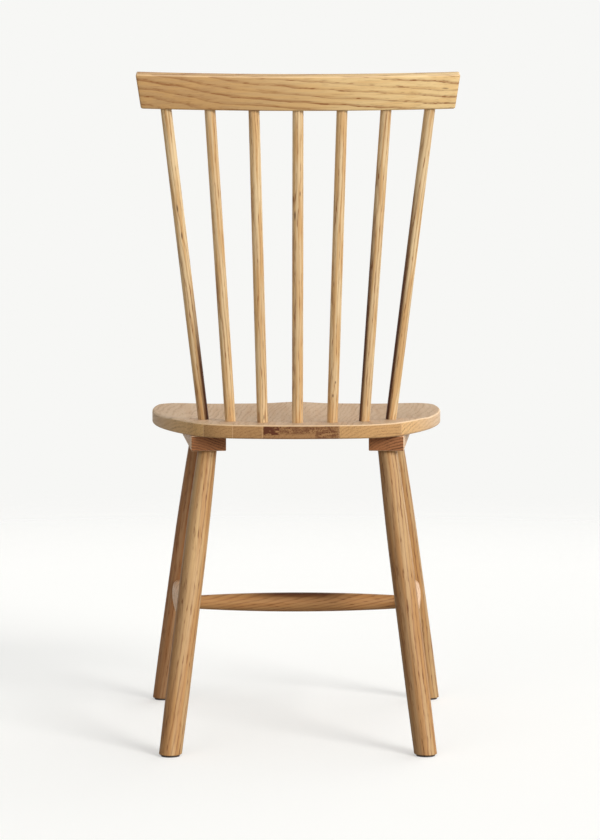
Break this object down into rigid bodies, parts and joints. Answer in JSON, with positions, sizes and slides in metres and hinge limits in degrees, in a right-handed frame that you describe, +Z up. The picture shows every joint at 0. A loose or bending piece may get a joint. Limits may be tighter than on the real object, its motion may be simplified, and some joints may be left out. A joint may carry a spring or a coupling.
{
  "type": "windsor chair",
  "caption": "Armless oak dining chair with a saddled seat, a fan of round spindles under a bent crest rail, splayed turned legs and an H stretcher.",
  "frame": {"origin": "on the floor, below the middle of the chair's outline", "axes": "+Z up, +Y the way the sitter faces, +X the sitter's right; the back leans towards -Y"},
  "size_m": [0.437, 0.5052, 0.9343],
  "materials": {
    "seat_oak": "edge-glued oak staves, clear satin oil",
    "crest_oak": "clear satin oil on oak",
    "spindle_oak": "clear satin oil on oak",
    "leg_oak": "clear satin oil on oak",
    "stretcher_oak": "clear satin oil on oak",
    "batten_oak": "clear satin oil on oak",
    "screw_steel": "zinc-plated steel",
    "glide_plastic": "dark matt plastic"
  },
  "bodies": {
    "root": {"seat": "seat_oak", "crest_rail": "crest_oak", "spindle_1": "spindle_oak", "spindle_2": "spindle_oak", "spindle_3": "spindle_oak", "spindle_4": "spindle_oak", "spindle_5": "spindle_oak", "spindle_6": "spindle_oak", "spindle_7": "spindle_oak", "batten_left": "batten_oak", "batten_screws_left": "screw_steel", "side_stretcher_left": "stretcher_oak", "leg_rear_left": "leg_oak", "foot_glide_rear_left": "glide_plastic", "leg_front_left": "leg_oak", "foot_glide_front_left": "glide_plastic", "batten_right": "batten_oak", "batten_screws_right": "screw_steel", "side_stretcher_right": "stretcher_oak", "leg_rear_right": "leg_oak", "foot_glide_rear_right": "glide_plastic", "leg_front_right": "leg_oak", "foot_glide_front_right": "glide_plastic", "cross_stretcher": "stretcher_oak"}
  },
  "joints": []
}
